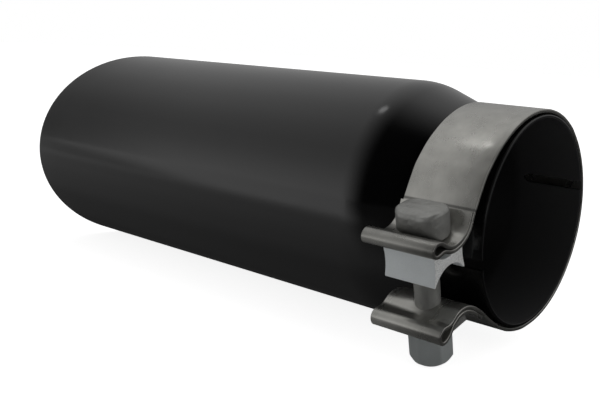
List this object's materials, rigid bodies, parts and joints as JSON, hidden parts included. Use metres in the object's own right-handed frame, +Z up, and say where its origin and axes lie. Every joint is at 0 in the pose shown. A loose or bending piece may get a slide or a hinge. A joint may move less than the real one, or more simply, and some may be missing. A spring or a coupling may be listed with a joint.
{
  "type": "exhaust tip",
  "caption": "Clamp-on exhaust tip: round tube with a slanted rolled outlet, a shoulder down to a slotted inlet neck, and a loose flat-band clamp closed by a T-bolt.",
  "frame": {"origin": "centre of the inlet neck's mouth plane, on the tube's axis", "axes": "+X along the tube, out of the inlet mouth; -Y toward the clamp's ears; +Z up, with the tip lying on its side on z = -0.0635"},
  "size_m": [0.3378, 0.1542, 0.127],
  "materials": {
    "black_coat": "satin black high-temperature coat on sheet steel",
    "band_steel": "stainless strip, mill finish with light rolling lines",
    "block_zinc": "bright zinc plated steel with sawn ends",
    "bolt_steel": "forged steel, pale plated",
    "nut_zinc": "blue zinc plated steel"
  },
  "bodies": {
    "root": {"tip_shell": "black_coat", "clamp_band": "band_steel", "reaction_block": "block_zinc", "t_bolt": "bolt_steel", "saddle_bar": "bolt_steel", "hex_nut": "nut_zinc"}
  },
  "joints": []
}
